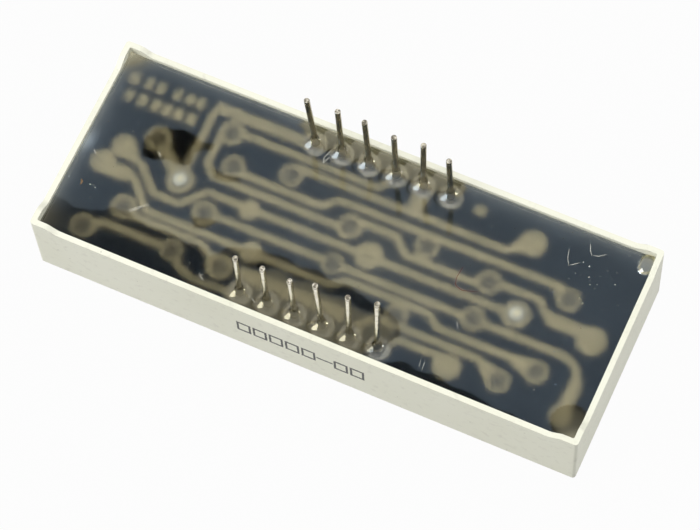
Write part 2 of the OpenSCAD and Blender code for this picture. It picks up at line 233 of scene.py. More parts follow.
# %% Cloudiness
cloudiness, given, result = start_group(
    "cloudiness",
    [("Place", VECTOR, (0, 0, 0)), ("Scale", FLOAT, 1.0), ("Low", FLOAT, 0.35), ("High", FLOAT, 0.65)],
    [("Mask", FLOAT)],
)
clouds = fine_noise(cloudiness, given.outputs["Place"], given.outputs["Scale"], 4.0)
ramp = add(cloudiness, "ShaderNodeMapRange",
           {"Value": clouds, "From Min": given.outputs["Low"], "From Max": given.outputs["High"]})
cloudiness.links.new(ramp.outputs["Result"], result.inputs["Mask"])
print("group", cloudiness.name)

# %% Soft patch
soft_patch, given, result = start_group(
    "soft_patch",
    [("Place", VECTOR, (0, 0, 0)), ("Middle", VECTOR, (0, 0, 0)), ("Reach", VECTOR, (1, 1, 1)),
     ("Edge", FLOAT, 0.2)],
    [("Mask", FLOAT)],
)
shifted = add(soft_patch, "ShaderNodeVectorMath",
              {0: given.outputs["Place"], 1: given.outputs["Middle"]}, operation="SUBTRACT")
scaled = add(soft_patch, "ShaderNodeVectorMath",
             {0: shifted.outputs[0], 1: given.outputs["Reach"]}, operation="DIVIDE")
distance = add(soft_patch, "ShaderNodeVectorMath", {0: scaled.outputs[0]}, operation="LENGTH")
inner = math_node(soft_patch, "SUBTRACT", 1.0, given.outputs["Edge"])
outer = math_node(soft_patch, "ADD", 1.0, given.outputs["Edge"])
fade = add(soft_patch, "ShaderNodeMapRange",
           {"Value": distance.outputs["Value"], "From Min": inner, "From Max": outer,
            "To Min": 1.0, "To Max": 0.0}, interpolation_type="SMOOTHSTEP")
soft_patch.links.new(fade.outputs["Result"], result.inputs["Mask"])
print("group", soft_patch.name)

# %% Specks
specks, given, result = start_group(
    "specks",
    [("Place", VECTOR, (0, 0, 0)), ("Scale", FLOAT, 1.0), ("Size", FLOAT, 0.1), ("Share", FLOAT, 0.2)],
    [("Mask", FLOAT)],
)
cells = add(specks, "ShaderNodeTexVoronoi",
            {"Vector": given.outputs["Place"], "Scale": given.outputs["Scale"], "Randomness": 1.0})
near = math_node(specks, "LESS_THAN", cells.outputs["Distance"], given.outputs["Size"])
random_share = add(specks, "ShaderNodeSeparateColor", {"Color": cells.outputs["Color"]})
chosen = math_node(specks, "LESS_THAN", random_share.outputs[0], given.outputs["Share"])
both = math_node(specks, "MULTIPLY", near, chosen)
specks.links.new(both, result.inputs["Mask"])
print("group", specks.name)


# %% The effects by name
def cloudy(tree, place, scale, low=0.35, high=0.65):
    """The mask of a soft drift."""
    return place_group(tree, cloudiness, Place=place, Scale=scale, Low=low, High=high)["Mask"]


def patch(tree, place, middle, reach, edge):
    """The mask of one soft patch."""
    return place_group(tree, soft_patch, Place=place, Middle=middle, Reach=reach, Edge=edge)["Mask"]


def dotted(tree, place, scale, size, share):
    """The mask of scattered specks."""
    return place_group(tree, specks, Place=place, Scale=scale, Size=size, Share=share)["Mask"]


print("effects", [group.name for group in (cloudiness, soft_patch, specks)])

# %% [markdown]
# ## White plastic
# The box is moulded in a warm white plastic. The finish is a little uneven in tone, fairly
# matt, and has the fine orange-peel of a textured mould. The photograph shows an inked stamp
# on the long side: here its place has a row of plain open squares and a dash, put on with the
# same broken ink.

# %% A stamp of open squares
STAMP_FROM, STAMP_TO, STAMP_CELLS, DASH_CELL = -6.05, 6.0, 8, 5
STAMP_CELL = (STAMP_TO - STAMP_FROM) / STAMP_CELLS
STAMP_MIDDLE_Z, STAMP_HALF, STAMP_SLIMNESS = 3.9, 0.72, 1.3
SQUARE_STROKE, DASH_STROKE, RAGGEDNESS = 0.135, 0.12, 0.16
INK_DEPTH = 0.02


def stamp_mask(tree, place):
    """1 where ink lies on the long front side: eight cells, one of them a dash."""
    xyz = add(tree, "ShaderNodeSeparateXYZ", {"Vector": place}).outputs
    ragged = math_node(tree, "SUBTRACT", fine_noise(tree, place, 9.0, 3.0), 0.5)
    wobble = math_node(tree, "MULTIPLY", ragged, RAGGEDNESS)
    along = math_node(tree, "DIVIDE", math_node(tree, "SUBTRACT", xyz[0], STAMP_FROM), STAMP_CELL)
    cell = math_node(tree, "FLOOR", along)
    within = math_node(tree, "SUBTRACT", math_node(tree, "SUBTRACT", along, cell), 0.5)
    across = math_node(tree, "MULTIPLY", math_node(tree, "ABSOLUTE", within), STAMP_CELL)
    up = math_node(tree, "ABSOLUTE", math_node(tree, "SUBTRACT", xyz[2], STAMP_MIDDLE_Z))
    reach = math_node(tree, "MAXIMUM", math_node(tree, "MULTIPLY", across, STAMP_SLIMNESS), up)
    off = math_node(tree, "ABSOLUTE", math_node(tree, "SUBTRACT", reach, STAMP_HALF))
    square = math_node(tree, "LESS_THAN", math_node(tree, "ADD", off, wobble), SQUARE_STROKE)
    dash = math_node(tree, "LESS_THAN", math_node(tree, "ADD", up, wobble), DASH_STROKE)
    is_dash = math_node(tree, "COMPARE", cell, float(DASH_CELL))
    shape = math_node(tree, "ADD", math_node(tree, "MULTIPLY", dash, is_dash),
                      math_node(tree, "MULTIPLY", square, math_node(tree, "SUBTRACT", 1.0, is_dash)))
    inside = math_node(tree, "MULTIPLY", math_node(tree, "GREATER_THAN", along, 0.0),
                       math_node(tree, "LESS_THAN", along, float(STAMP_CELLS)))
    front = math_node(tree, "LESS_THAN", xyz[1], float(housing_low[1]) + INK_DEPTH)
    return math_node(tree, "MULTIPLY", math_node(tree, "MULTIPLY", shape, inside), front)


print("stamp of", STAMP_CELLS, "cells, each", round(STAMP_CELL, 2), "mm wide")

# %% White plastic material
white_plastic, tree, shader, place = start_material("moulded_white")
colour = mix_colour(tree, cloudy(tree, place, 0.16, 0.3, 0.7), (0.86, 0.86, 0.73, 1), (0.82, 0.82, 0.68, 1))
grime = cloudy(tree, place, 1.5, 0.56, 0.78)
# Small dark specks scattered over the plastic.
dark_specks = dotted(tree, place, 0.9, 0.06, 0.45)
for mask, share, tone in (
    (grime, 0.42, (0.60, 0.58, 0.49, 1)),
    (dark_specks, 0.5, (0.3, 0.28, 0.22, 1)),
    (stamp_mask(tree, place), 0.96, (0.02, 0.02, 0.02, 1)),
):
    colour = lay_over(tree, mask, share, colour, tone)
peel = fine_noise(tree, place, 6.0, 5.0)
gloss = add(tree, "ShaderNodeMapRange", {"Value": peel, "To Min": 0.42, "To Max": 0.58})
feed(tree, shader, Base_Color=colour, Roughness=gloss.outputs["Result"], Normal=relief(tree, peel, 0.1, 0.02),
     Specular_IOR_Level=0.4)
print("material", white_plastic.name)

# %% [markdown]
# ## Circuit board and copper
# The board is black laminate under a dark coat. Its copper is dull brown, thinly coated, and a
# little uneven where it has aged. Both are only ever seen through resin on this side.

# %% Black board
black_board, tree, shader, place = start_material("dark_laminate")
drift = cloudy(tree, place, 0.5, 0.35, 0.7)
colour = mix_colour(tree, drift, (0.004, 0.007, 0.009, 1), (0.008, 0.011, 0.013, 1))
weave = fine_noise(tree, place, 4.0, 6.0)
feed(tree, shader, Base_Color=colour, Roughness=0.55, Normal=relief(tree, weave, 0.15, 0.02),
     Specular_IOR_Level=0.03)
print("material", black_board.name)

# %% Coated copper
copper, tree, shader, place = start_material("dull_copper")
colour = mix_colour(tree, cloudy(tree, place, 0.35), (0.53, 0.455, 0.262, 1), (0.46, 0.395, 0.222, 1))
colour = lay_over(tree, cloudy(tree, place, 2.2, 0.55, 0.75), 0.4, colour, (0.36, 0.29, 0.145, 1))
grain = fine_noise(tree, place, 8.0, 4.0)
feed(tree, shader, Base_Color=colour, Roughness=0.6, Normal=relief(tree, grain, 0.2, 0.02),
     Specular_IOR_Level=0.1)
print("material", copper.name)

# %% [markdown]
# ## Silver paste
# The holes that join the board's two sides are filled with silver paste, which sets to a dull
# grey cap with a slightly rough skin.

# %% Silver paste
silver_paste, tree, shader, place = start_material("cured_paste")
drift = cloudy(tree, place, 1.4)
colour = mix_colour(tree, drift, (0.20, 0.175, 0.11, 1), (0.155, 0.135, 0.083, 1))
feed(tree, shader, Base_Color=colour, Roughness=0.6, Normal=relief(tree, drift, 0.3, 0.04),
     Specular_IOR_Level=0.1)
print("material", silver_paste.name)

# %% [markdown]
# ## Solder, wire and the light chips
# The wires are tinned: a bright, slightly yellow metal with fine draw lines along it. The back
# row is darkened nearly to its tips with painted shade, for it faces away from the light. Each
# wire was cut to length, which leaves a dark ring just under the tip and a mottled end. The
# solder on the board is the same metal, duller. The chips and their hair-thin gold wires lie
# inside the milky light segments.

# %% Tinned wire
WIDE = 100
back_y = float(max(spot[1] for spot in pin_spots.values()))
tip_z = float(pin_boxes["pin_1"][1][2])
tinned_wire, tree, shader, place = start_material("tinned_metal")
drawn_out = add(tree, "ShaderNodeVectorMath", {0: place, 1: (9, 9, 0.9)}, operation="MULTIPLY")
lines = fine_noise(tree, drawn_out.outputs[0], 1.0, 5.0)
# Painted shade: the back row is darkened nearly to its tips, as it faces away from the light.
back_row_shade = patch(tree, place, (0, back_y, 0), (WIDE, 4, tip_z - 0.3), 0.02)
cut_ring = patch(tree, place, (0, 0, tip_z - 0.22), (WIDE, WIDE, 0.09), 0.6)
cut_end = patch(tree, place, (0, 0, tip_z + 0.05), (WIDE, WIDE, 0.09), 0.1)
mottle = math_node(tree, "MULTIPLY", cut_end, cloudy(tree, place, 5.0, 0.42, 0.58))
colour = mix_colour(tree, cloudy(tree, place, 1.6, 0.5, 0.75), (0.80, 0.76, 0.64, 1), (0.62, 0.57, 0.44, 1))
for mask, share, tone in (
    (back_row_shade, 0.7, (0.25, 0.215, 0.13, 1)),
    (cut_ring, 0.75, (0.16, 0.14, 0.10, 1)),
    (mottle, 1.0, (0.20, 0.18, 0.14, 1)),
):
    colour = lay_over(tree, mask, share, colour, tone)
rough = add(tree, "ShaderNodeMapRange",
            {"Value": lines, "From Min": 0.3, "From Max": 0.7, "To Min": 0.12, "To Max": 0.24})
feed(tree, shader, Base_Color=colour, Roughness=rough.outputs["Result"],
     Normal=relief(tree, lines, 0.25, 0.03), Metallic=1.0)
print("material", tinned_wire.name)

# %% Solder
solder, tree, shader, place = start_material("dull_solder")
drift = cloudy(tree, place, 2.0)
colour = mix_colour(tree, drift, (0.62, 0.60, 0.55, 1), (0.48, 0.46, 0.41, 1))
feed(tree, shader, Base_Color=colour, Roughness=0.4, Normal=relief(tree, drift, 0.3, 0.05), Metallic=0.8)
print("material", solder.name)

# %% Light chip and bond wire
chip, tree, shader, place = start_material("light_chip")
colour = mix_colour(tree, cloudy(tree, place, 6.0, 0.4, 0.6), (0.30, 0.22, 0.10, 1), (0.45, 0.36, 0.18, 1))
feed(tree, shader, Base_Color=colour, Roughness=0.3, Metallic=0.4)
bond_wire, tree, shader, place = start_material("gold_hair")
colour = mix_colour(tree, cloudy(tree, place, 10.0, 0.4, 0.6), (0.90, 0.66, 0.28, 1), (0.80, 0.56, 0.2, 1))
feed(tree, shader, Base_Color=colour, Roughness=0.25, Metallic=1.0)
print("materials", chip.name, bond_wire.name)

# %% [markdown]
# ## Front face
# The side that is looked at in use lies down here. It has a grey printed layer, through which
# the segments show as milky resin: light spreads in them, so that a chip of a third of a
# millimetre fills a whole segment.

# %% Grey print
grey_print, tree, shader, place = start_material("grey_ink")
drift = cloudy(tree, place, 0.2, 0.35, 0.7)
colour = mix_colour(tree, drift, (0.070, 0.072, 0.075, 1), (0.085, 0.087, 0.09, 1))
colour = lay_over(tree, dotted(tree, place, 1.3, 0.06, 0.25), 0.35, colour, (0.5, 0.5, 0.48, 1))
grain = fine_noise(tree, place, 14.0, 3.0)
feed(tree, shader, Base_Color=colour, Roughness=0.6, Normal=relief(tree, grain, 0.25, 0.02))
print("material", grey_print.name)

# %% Milky resin
milky_resin, tree, shader, place = start_material("milky_cast")
colour = mix_colour(tree, cloudy(tree, place, 0.6, 0.35, 0.7), (0.84, 0.85, 0.83, 1), (0.78, 0.79, 0.76, 1))
feed(tree, shader, Base_Color=colour, Roughness=0.3, Subsurface_Weight=0.3, Subsurface_Scale=0.001)
print("material", milky_resin.name)

# %% [markdown]
# ## Finishes on the CAD nodes
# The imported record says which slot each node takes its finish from. One table from slot to
# material dresses them all but the potting, which gets its own skin further down.

# %% Dress the CAD nodes
finishes = {
    "white_plastic": white_plastic, "grey_print": grey_print, "black_board": black_board,
    "copper": copper, "silver_paste": silver_paste, "solder": solder, "tinned_wire": tinned_wire,
    "milky_resin": milky_resin, "chip": chip, "bond_wire": bond_wire,
}
dressed = 0
for part in frame["record"]["subparts"]:
    finish = finishes.get(part["material_slot"])
    if finish:
        mesh = nodes[part["node"]].data
        mesh.materials.clear()
        mesh.materials.append(finish)
        dressed += 1
print("dressed", dressed, "nodes with", len(finishes), "finishes")

# %% [markdown]
# ## The poured resin
# The CAD solid has the right volume and level, but its top is faceted. Poured resin is one
# smooth skin: flat in the middle, drawn up at the walls, in a broad mound and a steep little
# collar round each wire, with a drop in one corner and a dip in another. Its top is a height
# over a fine grid, written as a sum of such rises. The mound's slope is what catches the lamp
# and puts a round bead of light beside each wire.
# Cured resin shrinks and lets go of the walls by a hair. That gap matters: seen from inside,
# the resin's sides then act as mirrors, and the dark board seems to run right up to the rim.
# Its floor runs a hair into the board, so that no gap shows there.

# %% Levels of the resin
COARSE, FINE = 0.18, 0.065
FINE_MARGIN = 1.5
SHRINK, SINK = 0.02, 0.06
RESIN_DEPTH = 1.5
level = box_mm("board")[1][2] + RESIN_DEPTH
in_x = float(resin_high[0]) - SHRINK
in_y = float(resin_high[1]) - SHRINK
floor_z = float(resin_low[2]) - SINK
WALL_RISE, WALL_REACH = 0.14, 0.6
WIRE_RISE, WIRE_REACH, WIRE_R = 0.5, 0.7, 0.25
COLLAR_RISE, COLLAR_REACH = 0.3, 0.12
CORNER_MIDDLE, CORNER_REACH, CORNER_RISE = (-in_x + 0.2, in_y - 0.2), (1.4, 1.3), 0.03
DROP_MIDDLE, DROP_REACH, DROP_RISE = (in_x - 0.52, in_y - 0.85), (0.72, 0.95), 0.4
DIP_MIDDLE, DIP_REACH = (in_x - 0.95, -in_y + 1.5), (1.6, 1.6)
DIP_BED, DIP_DEPTH = (1.2, 1.4), 0.12
print("resin level", round(float(level), 2), "half size", round(in_x, 2), round(in_y, 2))


# %% Height of the resin's skin
def from_middle(x, y, middle, reach):
    """Squared distance from the middle of an ellipse: 1 on its edge."""
    return ((x - middle[0]) / reach[0]) ** 2 + ((y - middle[1]) / reach[1]) ** 2


def bump(x, y, middle, reach, rise=1.0):
    """A round rise or dip with a soft edge."""
    return rise * np.exp(-from_middle(x, y, middle, reach))


def drop(x, y, middle, reach, rise):
    """A round drop with a steep edge."""
    return rise * np.sqrt(np.maximum(1 - from_middle(x, y, middle, reach), 0))


def resin_height(x, y):
    """Height of the skin over the grid, in millimetres."""
    z = np.full_like(x, level)
    for to_wall in (in_x - np.abs(x), in_y - np.abs(y)):
        z += WALL_RISE * np.exp(-np.maximum(to_wall, 0) / WALL_REACH)
    for spot in pin_spots.values():
        away = np.maximum(np.hypot(x - spot[0], y - spot[1]) - WIRE_R, 0)
        z += WIRE_RISE * np.exp(-(away / WIRE_REACH) ** 2) + COLLAR_RISE * np.exp(-away / COLLAR_REACH)
    z += drop(x, y, DROP_MIDDLE, DROP_REACH, DROP_RISE)
    z += bump(x, y, CORNER_MIDDLE, CORNER_REACH, CORNER_RISE)
    z += bump(x, y, DIP_MIDDLE, DIP_BED, -DIP_DEPTH)
    # Long, low waves keep the flat part from mirroring like plate glass.
    z += 0.012 * np.sin(0.55 * x + 1.1) * np.cos(0.8 * y - 0.4) + 0.006 * np.sin(1.7 * x - 0.9 * y)
    return np.minimum(z, housing_high[2])


print("rise at a wire", WIRE_RISE + COLLAR_RISE, "mm, at a wall", WALL_RISE, "mm")


# %% The skin's grid, finer where the wires stand
def graded(reach, spans):
    """Grid lines from -reach to reach, closer together within the spans."""
    lines = [-reach]
    while lines[-1] < reach:
        near = any(low <= lines[-1] <= high for low, high in spans)
        lines.append(lines[-1] + (FINE if near else COARSE))
    lines[-1] = reach
    return np.array(lines)


spots = np.array(list(pin_spots.values()))
along_rows = [(spots[:, 0].min() - FINE_MARGIN, spots[:, 0].max() + FINE_MARGIN)]
across_rows = [(y - FINE_MARGIN, y + FINE_MARGIN) for y in (spots[:, 1].min(), spots[:, 1].max())]
lines_x, lines_y = graded(in_x, along_rows), graded(in_y, across_rows)
columns, rows = len(lines_x), len(lines_y)
grid_x, grid_y = np.meshgrid(lines_x, lines_y)
grid_z = resin_height(grid_x, grid_y)


def skin_faces():
    """Quads over the grid, facing up."""
    first = (np.arange(rows - 1)[:, None] * columns + np.arange(columns - 1)[None, :]).ravel()
    return np.stack([first, first + 1, first + columns + 1, first + columns], axis=1).tolist()


def new_piece(name, points_mm, faces, material, smooth=True):
    """A mesh object from points in millimetres, riding on the one body."""
    mesh = bpy.data.meshes.new(name)
    mesh.from_pydata((np.asarray(points_mm) * MM).tolist(), [], faces)
    mesh.materials.append(material)
    if smooth:
        mesh.shade_smooth()
    piece = bpy.data.objects.new(name, mesh)
    bpy.context.scene.collection.objects.link(piece)
    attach(piece, "root")
    return piece


print("skin grid", columns, "by", rows)

# %% [markdown]
# The resin is glass-clear with a trace of yellow. Its refractive index of 1.5 makes the board
# look about a third nearer than it is.

# %% Clear resin material
clear_resin, tree, shader, place = start_material("clear_cast")
colour = mix_colour(tree, cloudy(tree, place, 0.3), (0.98, 0.98, 0.95, 1), (0.95, 0.95, 0.90, 1))
feed(tree, shader, Base_Color=colour, Roughness=0.03, Transmission_Weight=1.0, IOR=1.5,
     Specular_Tint=(0.05, 0.05, 0.05, 1))
print("material", clear_resin.name)

# %% The resin body
top = np.stack([grid_x.ravel(), grid_y.ravel(), grid_z.ravel()], axis=1)
edge = ([*range(columns)] + [r * columns + columns - 1 for r in range(1, rows)]
        + [(rows - 1) * columns + c for c in range(columns - 2, -1, -1)]
        + [r * columns for r in range(rows - 2, 0, -1)])
bottom = top[edge].copy()
bottom[:, 2] = floor_z
count = len(top)
around = len(edge)
sides = [[edge[(i + 1) % around], edge[i], count + i, count + (i + 1) % around] for i in range(around)]
under = [[count + i for i in range(around - 1, -1, -1)]]
resin = new_piece("potting_resin", np.vstack([top, bottom]), skin_faces() + sides + under, clear_resin)
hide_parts("potting")
print("potting_resin", len(resin.data.polygons), "faces")

# %% [markdown]
# Poured resin also holds fine fillers that blur what lies under it. A thin frosted sheet about
# half a millimetre below its top does the same: the clear top still gives sharp reflections,
# and the copper below loses its hard edges.

# %% The frosted layer
HAZE_LOW, HAZE_HIGH, HAZE_MARGIN = 0.92, 0.97, 0.01
SQUARE = ((-1, -1), (1, -1), (1, 1), (-1, 1))
milky_haze, tree, shader, place = start_material("milky_haze")
colour = mix_colour(tree, cloudy(tree, place, 0.3), (0.97, 0.97, 0.96, 1), (0.93, 0.93, 0.92, 1))
feed(tree, shader, Base_Color=colour, Roughness=0.85, Transmission_Weight=1.0, IOR=1.25,
     Specular_Tint=(0.02, 0.02, 0.02, 1))
board_top = level - RESIN_DEPTH
haze_x, haze_y = in_x - HAZE_MARGIN, in_y - HAZE_MARGIN
haze_points = [(x * haze_x, y * haze_y, board_top + z) for z in (HAZE_LOW, HAZE_HIGH) for x, y in SQUARE]
haze_faces = [[3, 2, 1, 0], [4, 5, 6, 7], [0, 1, 5, 4], [1, 2, 6, 5], [2, 3, 7, 6], [3, 0, 4, 7]]
new_piece("resin_haze", haze_points, haze_faces, milky_haze, smooth=False)
print("resin_haze at", round(float(board_top + HAZE_LOW), 2))

# %% [markdown]
# ## A painted reflection on the resin
# Over most of its surface the resin gets a painted reflection of the pale room, faint and
# bluish: a thin mirror skin whose strength is set place by place, and that veils the board. The
# veil is missing in a wedge beside the left peg, in a band along the front wall and just outside
# the pin rows, where the copper shows brown on black. It turns warm and grey between the pins,
# at the walls and in a dip near one corner. Where the veil is missing, painted shade takes its
# place, and the board shows at its darkest.
# A mask from textures could not follow such shapes, so each place is an outline of a few points.
# The veil's strength, its warmth and the share of shade are worked out for every point of the
# skin and kept on the mesh as an attribute, which the material reads.

# %% Outlines of the clear and the warm places, in millimetres
LEFT_WEDGE = [(-19.9, 2.2), (-19.8, 2.9), (-19.4, 3.5), (-18.7, 3.8), (-18.0, 3.75), (-17.2, 4.0),
              (-15.9, 4.05), (-15.3, 3.6), (-14.4, 3.7), (-14.3, 3.2), (-15.4, 2.6), (-15.4, 1.6),
              (-15.8, 1.2), (-17.2, 0.8), (-18.1, 0.4), (-19.3, 0.6)]
RING_WEDGE = [(-13.3, 1.8), (-12.0, 1.7), (-10.8, 1.8), (-10.5, 1.3), (-11.6, 0.95), (-13.0, 1.15)]
SMALL_WEDGE = [(-13.1, -2.9), (-12.0, -2.7), (-10.9, -2.8), (-11.3, -3.5), (-12.2, -3.8)]
LEFT_BAND = [(-24.6, -6.1), (-21.0, -6.05), (-20.2, -5.5), (-19.6, -4.8), (-18.0, -4.9), (-17.2, -5.2),
             (-12.0, -5.3), (-10.2, -5.7), (-9.4, -5.1), (-9.0, -4.4), (-7.6, -4.1), (-6.6, -3.5),
             (-6.6, -10), (-24.6, -10)]
PIN_BAND = [(-6.8, -3.6), (-6.2, -3.4), (-2.0, -3.45), (1.7, -3.65), (4.0, -4.0), (5.7, -4.5), (6.7, -4.6),
            (7.4, -5.3), (7.6, -6.0), (7.2, -7.0), (6.3, -8.2), (5.6, -10), (-6.8, -10)]
FRONT_SLIVER = [(7.5, -8.7), (8.5, -8.2), (10.7, -8.1), (13.0, -8.25), (17.0, -8.6), (20.7, -9.0),
                (20.7, -10), (7.5, -10)]
BACK_PINS = [(-8.1, 8.4), (-7.6, 9.6), (6.6, 9.6), (7.4, 8.7), (7.0, 7.6), (5.0, 7.1), (2.0, 7.2),
             (-6.6, 7.1)]
FRONT_PINS = [(-7.0, -5.6), (-4.4, -4.7), (-1.0, -4.7), (2.0, -4.9), (5.0, -5.2), (6.5, -4.9), (7.3, -5.8),
              (6.9, -7.1), (5.8, -8.6), (5.4, -10), (-7.6, -10)]
CLEAR_PLACES = ((LEFT_WEDGE, 1.0), (RING_WEDGE, 0.9), (SMALL_WEDGE, 0.9), (LEFT_BAND, 0.76),
                (PIN_BAND, 0.92), (FRONT_SLIVER, 0.85))
print("outlines of", [len(outline) for outline, _ in CLEAR_PLACES], "points")


# %% How far a point lies inside an outline
def inside_by(x, y, outline):
    """Distance to the outline: above 0 inside it, below 0 outside."""
    nearest = np.full_like(x, 1e9)
    crossings = np.zeros(x.shape, dtype=int)
    for (x0, y0), (x1, y1) in zip(outline, outline[1:] + outline[:1]):
        dx, dy = x1 - x0, y1 - y0
        along = np.clip(((x - x0) * dx + (y - y0) * dy) / (dx * dx + dy * dy), 0, 1)
        nearest = np.minimum(nearest, np.hypot(x - x0 - along * dx, y - y0 - along * dy))
        spans = (y0 > y) != (y1 > y)
        meets = x0 + (y - y0) * dx / np.where(dy == 0, 1e-9, dy)
        crossings += (spans & (x < meets)).astype(int)
    return np.where(crossings % 2 == 1, nearest, -nearest)


def soft(distance, width):
    """0 outside, 1 inside, with a smooth edge of the given width."""
    share = np.clip(distance / width + 0.5, 0, 1)
    return share * share * (3 - 2 * share)


print("outline helpers ready")

# %% Clear and warm places over the grid
EDGE, FRONT_PINS_EDGE, BACK_PINS_EDGE = 0.28, 0.9, 0.6
wander_x = grid_x + 0.14 * np.sin(2.3 * grid_y + 0.7 * grid_x) + 0.07 * np.sin(5.1 * grid_x + 1.3)
wander_y = grid_y + 0.12 * np.sin(1.9 * grid_x + 0.4) + 0.06 * np.sin(4.7 * grid_y - 2.2 * grid_x)
# Where clear is 1, the painted reflection is left out and painted shade is laid instead.
clear = np.zeros_like(grid_x)
for outline, share in CLEAR_PLACES:
    clear = np.maximum(clear, share * soft(inside_by(wander_x, wander_y, outline), EDGE))
at_back_pins = soft(inside_by(wander_x, wander_y, BACK_PINS), BACK_PINS_EDGE)
warm = np.maximum(soft(inside_by(wander_x, wander_y, FRONT_PINS), FRONT_PINS_EDGE), at_back_pins)
print("clear at", int((clear > 0.5).sum()), "points, warm at", int((warm > 0.5).sum()))

# %% The dip near the front right corner
from_dip = np.sqrt(from_middle(grid_x, grid_y, DIP_MIDDLE, DIP_REACH))
in_dip = soft(1 - from_dip, 0.06)
dip_rim = soft(1.03 - from_dip, 0.05) * soft(from_dip - 0.84, 0.2)
dip_slant = np.clip(0.5 + (grid_x - DIP_MIDDLE[0] - grid_y + DIP_MIDDLE[1]) / (2 * DIP_REACH[0]), 0, 1)
# Painted reflection in the dip, stronger towards the lower right and weaker on its rim.
dip_painted_sheen = in_dip * (0.8 + 0.8 * dip_slant) * (1 - 0.7 * dip_rim)
# The dip counts as clear too, so it gets painted shade as well.
clear = np.maximum(clear, in_dip)
print("dip over", int((in_dip > 0.5).sum()), "points")

# %% [markdown]
# Some places get a stronger painted reflection than the veil: along the left and back walls, on
# the drop and round its rim, beside each wire and faintly in the middle; over the two white pegs
# it is a painted highlight. The camera looks in at a slant, so a peg or a wire's foot shows a
# little off its true place, and its painted sheen is moved by as much.

# %% Painted sheens
WALL_SHEEN_REACH, FRONT_FADE = 0.75, 3.0
COLLAR_SHIFT, COLLAR_RADIUS = (0.3, -0.4), 1.0
PEG_X, PEG_SHIFT = 15.65, (0.16, -0.2)
# Painted reflection along the left and back walls.
left_edge = np.exp(-np.maximum(grid_x + in_x, 0) / WALL_SHEEN_REACH)
left_edge *= np.clip((grid_y + in_y) / FRONT_FADE, 0.4, 1)
back_edge = np.exp(-np.maximum(in_y - grid_y, 0) / WALL_SHEEN_REACH)
from_drop = np.sqrt(from_middle(grid_x, grid_y, DROP_MIDDLE, DROP_REACH))
# Painted reflection on the drop, with a brighter painted highlight round its rim.
at_drop = 3.0 * soft(1 - from_drop, 0.15) + 3.5 * np.exp(-((from_drop - 0.9) / 0.11) ** 2)
to_wire = np.min([np.hypot(grid_x - x - COLLAR_SHIFT[0], grid_y - y - COLLAR_SHIFT[1])
                  for x, y in pin_spots.values()], axis=0)
# Painted reflection round each wire's foot, with a thin brighter ring at its edge.
collar = 0.34 * soft(COLLAR_RADIUS - to_wire, 0.2) + 0.16 * np.exp(-((to_wire - COLLAR_RADIUS) / 0.07) ** 2)
painted_sheen = 2.5 * left_edge + 2.3 * back_edge + at_drop + collar + dip_painted_sheen
painted_sheen_warmth = 0.5 * (left_edge + back_edge) + 0.15 * at_drop + 0.5 * collar + in_dip
# Round patches of painted reflection; over the two pegs they are painted highlights.
ROUND_PAINTED_SHEENS = {
    # place: middle, reach, strength, warmth
    "left_peg": ((-PEG_X + PEG_SHIFT[0], PEG_SHIFT[1]), (0.6, 0.6), 4.5, 1.0),
    "right_peg": ((PEG_X + PEG_SHIFT[0], PEG_SHIFT[1]), (0.6, 0.6), 4.5, 1.0),
    "back_left_corner": ((-in_x + 0.3, in_y - 0.3), (1.4, 1.3), 1.1, 0.8),
    "left_wall": ((-in_x + 0.35, -0.15), (0.5, 0.9), 3.0, 0.0),
    "front_left_corner": ((-in_x + 0.5, -in_y + 0.9), (2.0, 1.5), 0.3, 0.8),
    "front_right_corner": ((in_x - 0.1, -in_y + 0.2), (1.0, 0.8), 3.0, 0.0),
    "middle": ((3.5, 0.5), (9.0, 4.5), 0.5, 0.3),
}
for middle, reach, share, tone in ROUND_PAINTED_SHEENS.values():
    here = bump(grid_x, grid_y, middle, reach)
    painted_sheen += share * here
    painted_sheen_warmth += tone * here
print("glaze up to", painted_sheen.max().round(2), "with", len(ROUND_PAINTED_SHEENS), "round places")

# %% Strength and warmth of the veil
# Painted reflection: full where the board is not clear, stronger round the pins, plus the painted sheens.
strength = np.maximum(1 - clear, np.maximum(1.5 * warm, 1.9 * at_back_pins)) + painted_sheen
warmth = np.clip(warm + painted_sheen_warmth, 0, 1)
print("veil strength", strength.min().round(2), "to", strength.max().round(2))

# %% Painted reflection material
VEIL, SHADE = 0.058, 0.27
# A thin mirror skin whose strength, set place by place, paints the room's reflection.
painted_reflection_finish, tree, shader, place = start_material("resin_painted_reflection")
stored = add(tree, "ShaderNodeAttribute", attribute_name="veil").outputs["Vector"]
parts = add(tree, "ShaderNodeSeparateXYZ", {"Vector": stored}).outputs
drift = cloudy(tree, place, 0.22, 0.3, 0.7)
patchy = add(tree, "ShaderNodeMapRange", {"Value": drift, "To Min": 0.9 * VEIL, "To Max": 1.1 * VEIL})
veil = math_node(tree, "MULTIPLY", patchy.outputs["Result"], parts["X"])
dust = math_node(tree, "MULTIPLY", dotted(tree, place, 0.9, 0.05, 0.2), 0.3)
veil = math_node(tree, "ADD", veil, dust, clamp=True)
# Painted shade: a black share of the skin darkens the board where it is clear.
shade = math_node(tree, "MULTIPLY", parts["Z"], SHADE)
shade_share = math_node(tree, "DIVIDE", shade, math_node(tree, "ADD", shade, veil))
# The painted reflection is bluish, and warm where the stored warmth says so; the painted shade is black.
tint = mix_colour(tree, parts["Y"], (0.60, 0.79, 1.0, 1), (1.0, 0.94, 0.66, 1))
tint = mix_colour(tree, shade_share, tint, (0, 0, 0, 1))
feed(tree, shader, Base_Color=tint, Metallic=1.0, Roughness=0.06,
     Alpha=math_node(tree, "ADD", veil, shade, clamp=True))
print("material", painted_reflection_finish.name)

